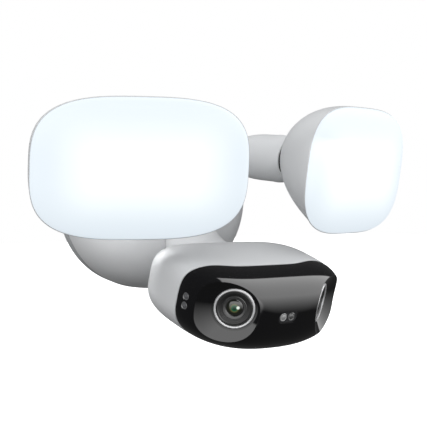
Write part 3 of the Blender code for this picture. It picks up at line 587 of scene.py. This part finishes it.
# camera head
camera = {"halfWidth": 61.2 * mm, "halfDepth": 47 * mm, "halfHeight": 27.75 * mm,
          "centre": Vector((0, -39.6 * mm, -3.75 * mm)), "power": 3.0, "topPower": 5.6,
          "backPower": 3.8, "bottomPower": 2.35, "seamSide": 8.6 * mm, "seamCorner": 3.5 * mm,
          "seamTop": 5 * mm, "seamBottom": 4 * mm, "ringPoints": 176,
          "wall": 2.4 * mm, "faceWall": 13.5 * mm, "faceGap": 0.3 * mm, "tilt": math.radians(18),
          "ear": (3.6 * mm, 9.7 * mm, 13 * mm),
          "earPlace": Vector((27.5 * mm, -0.65 * mm, 1.5 * mm)),
          "cupArm": 9 * mm, "cupArmReach": 3.6 * mm,
          "doorCut": (24.6 * mm, 12.6 * mm, 8 * mm), "doorBack": 12 * mm}
lens = {"x": 35.8 * mm, "forward": 35.4 * mm, "z": 6.3 * mm, "yaw": math.radians(38),
        "bore": 13.2 * mm, "ringOuter": 12.9 * mm, "ringInner": 11.6 * mm, "barrel": 11.2 * mm,
        "depth": 15 * mm, "glass": 5.2 * mm, "glassEdge": -2.7 * mm, "glassBack": -4.7 * mm,
        "glassBulge": 2 * mm,
        # radius and height of the shallow dish round each lens, in millimetres
        "dish": ((13.4, 0), (14.5, 0.3), (16, 1), (18, 1.9), (20, 2.9), (22.5, 4.05), (25, 5.3),
                 (28, 7), (32, 9.6), (32, 30))}
window = {"z": 2.8 * mm, "frontY": -45.9 * mm, "depth": 3.7 * mm, "halfWidth": 7.6 * mm,
          "halfHeight": 3.4 * mm, "corner": 3.3 * mm, "gap": 0.4 * mm,
          # place across and brightness of each dot behind the glass
          "dots": ((-3.4 * mm, 0.5), (3.2 * mm, 0.12)), "dotRadius": 2.7 * mm}
spot = {"x": -60.3 * mm, "radius": 2.4 * mm, "gap": 0.15 * mm, "depth": 5 * mm,
        "way": Vector((-0.965, -0.263, 0)).normalized(),
        "heights": {"infrared_led": 8.4 * mm, "light_sensor": 2.4 * mm}}
cameraPlace = Matrix.Translation(ballCentre) @ Matrix.Rotation(camera["tilt"], 4, "X")


def bodyOutline(halfWidth, halfHeight, topPower=camera["topPower"]):
    return outline(halfWidth, halfHeight, topPower, camera["ringPoints"], camera["bottomPower"])


def bodyDepth(x, z, inset=0.0, frontInset=None):
    depth = camera["halfDepth"] - (inset if frontInset is None else frontInset)
    across = abs(x) / (camera["halfWidth"] - inset)
    up = abs(z) / (camera["halfHeight"] - inset)
    power = camera["topPower"] if z > 0 else camera["bottomPower"]
    share = min((across ** power + up ** power) ** (1 / power), 1)
    return depth * max(1 - share ** camera["power"], 0) ** (1 / camera["power"])


def bodyLevel(share, inset=0.0):
    # ring round the back half: share 1 at the widest section, 0 at the pole
    topPower = camera["backPower"] + (camera["topPower"] - camera["backPower"]) * share ** 4
    y = (camera["halfDepth"] - inset) * max(1 - share ** camera["power"], 0) ** (1 / camera["power"])
    return [camera["centre"] + Vector((x, y, z))
            for x, z in bodyOutline((camera["halfWidth"] - inset) * share,
                                    (camera["halfHeight"] - inset) * share, topPower)]


def seam(inset=0.0, part=1.0):
    # edge of the black face on the body's skin as (x, depth, z); a part below 1 stops short of it
    points = []
    for i, (x, z) in enumerate(bodyOutline(1, 1)):
        rise = math.sin(2 * math.pi * (i + 0.5) / camera["ringPoints"])
        depth = camera["seamSide"] + camera["seamCorner"] * abs(rise)
        depth += (camera["seamTop"] if rise > 0 else camera["seamBottom"]) * abs(rise) ** 40
        depth *= part
        level = (1 - (depth / camera["halfDepth"]) ** camera["power"]) ** (1 / camera["power"])
        points.append((x * (camera["halfWidth"] * level - inset), depth,
                       z * (camera["halfHeight"] * level - inset)))
    return points


def seamRing(inset=0.0, back=0.0, part=1.0):
    return [camera["centre"] + Vector((x, back - depth, z)) for x, depth, z in seam(inset, part)]


def roundShares(steps, first, last=90.0):
    return [math.sin(angle) ** (2 / camera["power"]) for angle in quarter(steps, first, last)]


def shellCutters():
    # ears for the cup's pins, room for the ball, the neck's way at each pan and tilt,
    # and the card door's hole
    cutters = []
    for sign in (1, -1):
        shift = camera["earPlace"].copy()
        shift.x *= sign
        ear = placed(brick(camera["ear"], 0.4 * mm), cameraPlace @ Matrix.Translation(shift))
        cutters.append((ear, "UNION"))
    room = bmesh.new()
    bmesh.ops.create_uvsphere(room, u_segments=96, v_segments=48,
                              radius=neck["ball"] + neck["clearance"])
    holes = [placed(room, cameraPlace)]
    for pan in neck["pans"]:
        for tilt in neck["tilts"]:
            turn = Euler((-camera["tilt"] + tilt, 0, 0)).to_matrix() @ Euler((0, 0, pan)).to_matrix()
            opening = bore(neck["radius"] + neck["clearance"], Vector(), turn @ -neckWay, 0,
                           60 * mm, 96)
            holes.append(placed(opening, cameraPlace))
    cupArm = rod(camera["cupArm"], 2 * (neck["ball"] + camera["cupArmReach"]))
    holes.append(placed(cupArm, cameraPlace @ alongX))
    holes.append(placed(rod(pinHole, 80 * mm, 32), cameraPlace @ alongX))
    bottom = camera["centre"] + Vector((0, camera["doorBack"], -camera["halfHeight"]))
    holes.append(placed(brick(camera["doorCut"]),
                        cameraPlace @ Matrix.Translation((0, bottom.y, bottom.z))))
    return cutters + [(hole, "DIFFERENCE") for hole in holes]


def buildCameraShell():
    outer = [bodyLevel(share) for share in roundShares(36, 3)]
    outer += [seamRing(part=i / 5) for i in range(1, 6)]
    lip = [seamRing(0.15 * mm, -0.22 * mm), seamRing(0.5 * mm, -0.3 * mm),
           seamRing(0.9 * mm, -0.1 * mm), seamRing(camera["wall"], 0)]
    inner = [bodyLevel(share, camera["wall"]) for share in roundShares(14, 12)[::-1]]
    bm = bmesh.new()
    loft(bm, outer + lip + inner)
    piece(placed(bm, cameraPlace), "cameraShell", finishes["shellWhite"], "camera",
          ["camera_rear_shell"], 26, shellCutters())


def lensPlace(sign):
    shift = camera["centre"] + Vector((sign * lens["x"], -lens["forward"], lens["z"]))
    return cameraPlace @ Matrix.Translation(shift) @ Matrix.Rotation(sign * lens["yaw"], 4, "Z")


def spotPlaces():
    for name, z in spot["heights"].items():
        centre = camera["centre"] + Vector((spot["x"], -bodyDepth(spot["x"], z), z))
        yield name, cameraPlace @ Matrix.Translation(centre) @ towards(spot["way"])


def faceRing(inset, share, *insets):
    # ring inside the seam, at a share of the way out from the face's middle
    return [camera["centre"] + Vector((share * x, -bodyDepth(share * x, share * z, *insets), share * z))
            for x, depth, z in seam(inset)]


def windowBlock(depth, gap=0.0):
    # upright block with rounded ends, to the window's own size or wider by the gap
    bm = brick((2 * (window["halfWidth"] + gap), depth, 2 * (window["halfHeight"] + gap)))
    lengthwise = [edge for edge in bm.edges
                  if abs((edge.verts[0].co - edge.verts[1].co).normalized().y) > 0.9]
    bmesh.ops.bevel(bm, geom=lengthwise, offset=window["corner"] + gap, segments=10,
                    affect="EDGES", profile=0.5, material=-1)
    return bm


def faceCutters():
    # a dish and a bore for each lens, the window's slot and the two dots' holes
    dishTop = lens["dish"][-1][1]
    for sign in sides.values():
        place = lensPlace(sign) @ alongY
        dish = bmesh.new()
        profile = [(radius * mm, height * mm) for radius, height in lens["dish"]]
        spun(dish, [(0, 0), *profile, (0, dishTop * mm)], 144, closed=False)
        yield placed(dish, place), "DIFFERENCE"
        yield placed(rod(lens["bore"], 60 * mm, 96), place), "DIFFERENCE"
    shift = camera["centre"] + Vector((0, -45 * mm, window["z"]))
    slot = windowBlock(40 * mm, window["gap"])
    yield placed(slot, cameraPlace @ Matrix.Translation(shift)), "DIFFERENCE"
    for name, place in spotPlaces():
        yield placed(rod(spot["radius"] + spot["gap"], 30 * mm, 48), place), "DIFFERENCE"


def buildFace():
    gap = camera["faceGap"]
    wall = camera["wall"]
    outer = [faceRing(gap, share) for share in roundShares(52, 3)[:-1]]
    outer.append(seamRing(gap, -0.7 * mm))
    lip = [seamRing(0.45 * mm, -0.4 * mm), seamRing(0.6 * mm, 0.1 * mm), seamRing(wall, 0.1 * mm)]
    inner = [faceRing(wall, share, wall + 0.2 * mm, camera["faceWall"])
             for share in (0.93, 0.8, 0.6, 0.4, 0.2)]
    bm = bmesh.new()
    loft(bm, outer + lip + inner)
    piece(placed(bm, cameraPlace), "glossFace", finishes["blackGloss"], "camera", ["front_cover"],
          9, list(faceCutters()))


def radialMaterial(name, place, stops, roughness, coat, glow=0.0, glint=None):
    # colour that changes with the distance from a piece's axis; with a glow, the same colour is also
    # emitted as a painted reflection
    made, tree, shader = nodesOf(name)
    flat = addNode(tree, "ShaderNodeVectorMath", operation="MULTIPLY")
    flat.inputs[1].default_value = (1, 1, 0)
    length = addNode(tree, "ShaderNodeVectorMath", operation="LENGTH")
    ramp = addNode(tree, "ShaderNodeValToRGB")
    widest = stops[-1][0]
    tree.links.new(placeOn(tree, place), flat.inputs[0])
    tree.links.new(flat.outputs[0], length.inputs[0])
    tree.links.new(mathOf(tree, "DIVIDE", length.outputs["Value"], widest), ramp.inputs["Fac"])
    marks = ramp.color_ramp.elements
    while len(marks) < len(stops):
        marks.new(0.5)
    for mark, (radius, colour) in zip(marks, stops):
        mark.position = radius / widest
        mark.color = (*colour, 1)
    tree.links.new(ramp.outputs["Color"], shader.inputs["Base Color"])
    if glow:
        shade = ramp.outputs["Color"]
        if glint:
            # painted highlight: a pale image of a lamp in an inner lens, off the axis, emitted as
            # colour
            across, up, size = glint
            shift = addNode(tree, "ShaderNodeVectorMath", operation="SUBTRACT")
            shift.inputs[1].default_value = (across, up, 0)
            away = addNode(tree, "ShaderNodeVectorMath", operation="LENGTH")
            tree.links.new(flat.outputs[0], shift.inputs[0])
            tree.links.new(shift.outputs[0], away.inputs[0])
            share = fadeOf(tree, away.outputs["Value"], 0.5 * size, size, 1, 0)
            shade = mixOf(tree, share, shade, (1.0, 1.1, 1.0))
        tree.links.new(shade, shader.inputs["Emission Color"])
        shader.inputs["Emission Strength"].default_value = glow
    shader.inputs["Roughness"].default_value = roughness
    shader.inputs["Coat Weight"].default_value = coat
    shader.inputs["Coat Roughness"].default_value = 0.02
    return made


def buildRing(side, sign):
    place = lensPlace(sign) @ alongY
    inner = lens["ringInner"]
    outer = lens["ringOuter"]
    bm = bmesh.new()
    spun(bm, [(inner, -3 * mm), (outer, -3 * mm), (outer, 0.5 * mm), (outer - 0.15 * mm, 0.75 * mm),
              (outer - 0.5 * mm, 0.9 * mm), (inner + 0.3 * mm, 0.85 * mm), (inner, 0.6 * mm)], 128)
    piece(placed(bm, place), f"lensRing_{side}", finishes["silverRing"], "camera",
          [f"lens_ring_{side}"], 40)


def buildBarrel(side, sign):
    place = lensPlace(sign) @ alongY
    barrel = lens["barrel"]
    stem = barrel - 1.5 * mm
    flange = lens["ringOuter"]
    profile = [(0, -lens["depth"]), (stem, -lens["depth"]), (stem, -9 * mm), (flange, -8.5 * mm),
               (flange, -3.3 * mm), (barrel, -3.2 * mm), (barrel, -0.1 * mm),
               (barrel - 0.3 * mm, 0.15 * mm), (10.5 * mm, 0.15 * mm), (10.2 * mm, -0.2 * mm)]
    radius = 10.0
    height = -0.5
    for i in range(3):                               # stepped light baffle
        profile += [(radius * mm, height * mm), ((radius - 0.75) * mm, (height - 0.15) * mm)]
        radius -= 0.8
        height -= 0.55
    profile += [(7.5 * mm, -1.5 * mm), (7.2 * mm, -1.3 * mm), (5.9 * mm, -1.9 * mm),
                (5.6 * mm, -2.6 * mm), (5.4 * mm, -5 * mm), (0, -5 * mm)]
    bm = bmesh.new()
    spun(bm, profile, 128, closed=False)
    # a lighter grey band from 6 to 7.4 mm on the baffle, near black inside it and darker again outside
    stepped = radialMaterial(f"steppedBarrel_{side}", place,
                             [(0.0, (0.004, 0.004, 0.004)), (5.6 * mm, (0.006, 0.006, 0.006)),
                              (6.0 * mm, (0.11, 0.11, 0.11)), (7.4 * mm, (0.06, 0.06, 0.06)),
                              (8.0 * mm, (0.016, 0.016, 0.016)), (10.2 * mm, (0.03, 0.03, 0.03)),
                              (13.0 * mm, (0.012, 0.012, 0.012))], 0.35, 0.2)
    piece(placed(bm, place), f"lensBarrel_{side}", stepped, "camera",
          [f"lens_barrel_{side}"], 25)


def buildGlass(side, sign):
    place = lensPlace(sign) @ alongY
    radius = lens["glass"]
    edge = lens["glassEdge"]
    profile = [(0, lens["glassBack"]), (radius, lens["glassBack"]), (radius, edge)]
    for i in range(1, 12):
        a = math.radians(90 * i / 12)
        profile.append((radius * math.cos(a), edge + lens["glassBulge"] * math.sin(a)))
    profile.append((0, edge + lens["glassBulge"]))
    bm = bmesh.new()
    spun(bm, profile, 96, closed=False)
    # green and amber rings are painted reflections of the lens coatings, and the pale spot is a painted
    # highlight; both are emitted
    paintedReflectionGlass = radialMaterial(f"glassPaintedReflection_{side}", place,
                            [(0.0, (0.002, 0.012, 0.006)), (1.0 * mm, (0.004, 0.040, 0.018)),
                             (1.7 * mm, (0.010, 0.075, 0.035)), (2.4 * mm, (0.075, 0.075, 0.025)),
                             (3.1 * mm, (0.010, 0.012, 0.006)), (5.3 * mm, (0.003, 0.003, 0.003))],
                            0.03, 1.0, 0.8, (2.2 * mm, 0.7 * mm, 1.3 * mm))
    piece(placed(bm, place), f"lensGlass_{side}", paintedReflectionGlass, "camera", [f"lens_glass_{side}"],
          40)


def buildWindow():
    smoke = finishOf("smokedWindow", {"colour": (0.06, 0.06, 0.064), "roughness": (0.08, 0.12),
                                      "grain": 0.0, "coat": 0.8})
    front = camera["centre"] + Vector((0, window["frontY"], window["z"]))
    middle = front + Vector((0, window["depth"] / 2, 0))
    piece(placed(windowBlock(window["depth"]), cameraPlace @ Matrix.Translation(middle)),
          "sensorWindow", smoke, "camera", ["sensor_window"], 40)
    edge = window["dotRadius"]
    for i, (x, grey) in enumerate(window["dots"]):
        lamp = finishOf(f"windowLamp_{i}", {"colour": (grey, grey, grey), "roughness": (0.12, 0.2),
                                            "grain": 0.0, "coat": 1.0})
        bm = bmesh.new()
        spun(bm, [(0, -0.4 * mm), (edge, -0.4 * mm), (edge, 0), (edge - 0.3 * mm, 0.25 * mm),
                  (1.8 * mm, 0.05 * mm), (1.4 * mm, 0.3 * mm), (0.7 * mm, 0.5 * mm), (0, 0.55 * mm)],
             48, closed=False)
        shift = front + Vector((x, 0, 0))
        piece(placed(bm, cameraPlace @ Matrix.Translation(shift) @ alongY), f"windowLamp_{i}", lamp,
              "camera", [], 40)


def buildSpots():
    for name, place in spotPlaces():
        radius = spot["radius"]
        depth = spot["depth"]
        dark = radialMaterial(name + "Glass", place,
                              [(0.0, (0.16, 0.16, 0.17)), (1.2 * mm, (0.10, 0.10, 0.105)),
                               (2.5 * mm, (0.20, 0.20, 0.205))], 0.12, 1.0)
        bm = bmesh.new()
        spun(bm, [(0, -depth), (radius, -depth), (radius, -0.5 * mm),
                  (radius - 0.25 * mm, -0.25 * mm), (radius - 0.6 * mm, -0.45 * mm),
                  (1.2 * mm, -0.2 * mm), (0.6 * mm, -0.05 * mm), (0, 0)], 48, closed=False)
        piece(placed(bm, place), name + "Lamp", dark, "camera", [name], 40)


buildCameraShell()
buildFace()
for side, sign in sides.items():
    buildRing(side, sign)
    buildBarrel(side, sign)
    buildGlass(side, sign)
buildWindow()
buildSpots()
print("camera head made")

# carried CAD nodes
boardLook = {"colour": (0.02, 0.13, 0.06), "roughness": (0.3, 0.45), "grain": 0.1, "drift": 0.6,
             "broadScale": 260, "coat": 0.4}
finishes["boardGreen"] = finishOf("boardGreen", boardLook)
carried = {
    "zincSteel": ["wall_plate", "smoothing_capacitor", "dome_screw_left", "dome_screw_right",
                  "knuckle_pin_left", "knuckle_pin_right", "tilt_pin_left", "tilt_pin_right",
                  "card_socket"],
    "rubberBlack": ["wall_gasket", "cable_grommet", "head_seal_left", "head_seal_right"],
    "boardGreen": ["power_board", "main_board", "sensor_board_left", "sensor_board_right"],
    "blackPlastic": ["transformer", "terminal_block", "swivel_cup", "speaker", "reset_button"],
    "brass": ["arm_nut_left", "arm_nut_right", "neck_nut"],
    "aluminium": ["heat_sink_left", "heat_sink_right"],
    "ledBoardWhite": ["led_board_left", "led_board_right"],
    "reflectorWhite": ["reflector_left", "reflector_right"],
    "shellWhite": ["card_door"],
}
for finish, names in carried.items():
    for name in names:
        slots = frame["nodes"][name].data.materials
        slots.clear()
        slots.append(finishes[finish])
print("carried nodes finished")

# stage, light and camera
studio = {"floorZ": -0.75, "floorSize": 14, "floorGlow": 0.8, "white": 1.0, "skyLow": 0.13,
          "skyHigh": 1.0, "sky": (0.985, 0.992, 1, 1), "glossAmbient": 0.08, "cardEdge": 3}
cards = [{"azimuth": -24, "halfWidth": 32, "low": -26, "high": 72, "strength": 2.8, "fade": 44},
         {"azimuth": -112, "halfWidth": 54, "low": -40, "high": 26, "strength": 2.5, "fade": 42}]
view = {"azimuth": -38.0, "distance": 0.95, "side": 0.0546, "height": 0.0082, "tilt": 1.25,
        "lensLength": 110.2, "sensor": 36}
lamps = {
    "keyLamp": {"place": (-0.9, -1.1, 1.3), "aim": (0, -0.08, 0), "size": (0.9, 0.9), "power": 2.8},
    # the next one is the light that spills from the left cover's lower edge on the dome
    "spillLamp": {"place": (-0.10, -0.090, -0.024), "aim": (-0.055, -0.015, -0.022),
                  "size": (0.09, 0.012), "power": 0.028},
    "sideLamp": {"place": (-0.8, 0.05, 0.12), "aim": (-0.03, -0.04, -0.03), "size": (0.3, 0.3),
                 "power": 0.8},
    "neckLamp": {"place": (0.085, -0.125, 0.0), "aim": (0.04, -0.045, -0.005),
                 "size": (0.04, 0.02), "power": 0.035},
    "topLamp": {"place": (0.04, -0.175, 0.03), "aim": (0.03, -0.13, -0.05), "size": (0.08, 0.03),
                "power": 0.009},
}


def buildFloor():
    bm = bmesh.new()
    bmesh.ops.create_grid(bm, x_segments=8, y_segments=8, size=studio["floorSize"],
                          matrix=Matrix.Translation((0, 0, studio["floorZ"])))
    floor = finishMesh(bm, "studioFloor")
    made, tree, shader = nodesOf("studioFloor")
    shader.inputs["Base Color"].default_value = (0.9, 0.9, 0.9, 1)
    shader.inputs["Roughness"].default_value = 0.8
    shader.inputs["Emission Color"].default_value = (1, 1, 1, 1)
    shader.inputs["Emission Strength"].default_value = studio["floorGlow"]
    floor.data.materials.append(made)
    floor.visible_glossy = False
    floor.visible_diffuse = False


def softBox(tree, azimuth, halfWidth, low, high, strength, fade):
    # a bright card round the object, seen only in its gloss: angles in degrees
    coords = addNode(tree, "ShaderNodeTexCoord")
    turned = addNode(tree, "ShaderNodeVectorRotate", rotation_type="Z_AXIS")
    turned.inputs["Angle"].default_value = math.radians(-azimuth)
    tree.links.new(coords.outputs["Generated"], turned.inputs["Vector"])
    split = addNode(tree, "ShaderNodeSeparateXYZ")
    tree.links.new(turned.outputs["Vector"], split.inputs["Vector"])
    across = mathOf(tree, "ABSOLUTE", mathOf(tree, "ARCTAN2", split.outputs["Y"], split.outputs["X"]))
    up = mathOf(tree, "ARCSINE", split.outputs["Z"])
    edge = studio["cardEdge"]
    flanks = fadeOf(tree, across, math.radians(halfWidth), math.radians(halfWidth + edge), 1, 0)
    top = fadeOf(tree, up, math.radians(high), math.radians(high + edge), 1, 0)
    slope = fadeOf(tree, up, math.radians(low), math.radians(low + fade), 0, strength, "LINEAR")
    return mathOf(tree, "MULTIPLY", mathOf(tree, "MULTIPLY", flanks, top), slope)


def buildWorld():
    world = bpy.data.worlds.new("studio")
    bpy.context.scene.world = world
    world.use_nodes = True
    tree = world.node_tree
    seen = tree.nodes["Background"]
    seen.inputs["Color"].default_value = (1, 1, 1, 1)
    seen.inputs["Strength"].default_value = studio["white"]
    coords = addNode(tree, "ShaderNodeTexCoord")
    split = addNode(tree, "ShaderNodeSeparateXYZ")
    tree.links.new(coords.outputs["Generated"], split.inputs["Vector"])
    light = addNode(tree, "ShaderNodeBackground")
    light.inputs["Color"].default_value = studio["sky"]
    tree.links.new(fadeOf(tree, split.outputs["Z"], -0.8, 0.8, studio["skyLow"], studio["skyHigh"]),
                   light.inputs["Strength"])
    gloss = addNode(tree, "ShaderNodeBackground")
    total = None
    for card in cards:
        made = softBox(tree, **card)
        total = made if total is None else mathOf(tree, "ADD", total, made)
    tree.links.new(mathOf(tree, "ADD", total, studio["glossAmbient"]), gloss.inputs["Strength"])
    path = addNode(tree, "ShaderNodeLightPath")
    unseen = addNode(tree, "ShaderNodeMixShader")
    tree.links.new(path.outputs["Is Glossy Ray"], unseen.inputs["Fac"])
    tree.links.new(light.outputs[0], unseen.inputs[1])
    tree.links.new(gloss.outputs[0], unseen.inputs[2])
    mix = addNode(tree, "ShaderNodeMixShader")
    tree.links.new(path.outputs["Is Camera Ray"], mix.inputs["Fac"])
    tree.links.new(unseen.outputs[0], mix.inputs[1])
    tree.links.new(seen.outputs[0], mix.inputs[2])
    tree.links.new(mix.outputs[0], tree.nodes["World Output"].inputs["Surface"])


def addLamp(name, place, aim, size, power):
    lamp = bpy.data.lights.new(name, "AREA")
    lamp.shape = "RECTANGLE"
    lamp.size, lamp.size_y = size
    lamp.energy = power
    made = bpy.data.objects.new(name, lamp)
    made.location = place
    way = Vector(aim) - Vector(place)
    made.rotation_euler = way.to_track_quat("-Z", "Y").to_euler()
    made.visible_glossy = False
    made.visible_camera = False
    bpy.context.scene.collection.objects.link(made)


def buildCamera():
    turn = math.radians(view["azimuth"])
    right = Vector((math.cos(turn), math.sin(turn), 0))
    back = Vector((math.sin(turn), -math.cos(turn), 0))
    data = bpy.data.cameras.new("camera")
    data.lens = view["lensLength"]
    data.sensor_width = view["sensor"]
    made = bpy.data.objects.new("camera", data)
    made.location = right * view["side"] + back * view["distance"] + Vector((0, 0, view["height"]))
    made.rotation_euler = (math.radians(90 - view["tilt"]), 0, turn)
    bpy.context.scene.collection.objects.link(made)
    bpy.context.scene.camera = made


buildFloor()
buildWorld()
for name, values in lamps.items():
    addLamp(name, **values)
buildCamera()
for made in bpy.data.objects:                        # the black face mirrors the studio alone
    if made.type == "MESH":
        made.visible_glossy = False
bpy.context.scene.view_settings.view_transform = "Standard"
print("stage made")
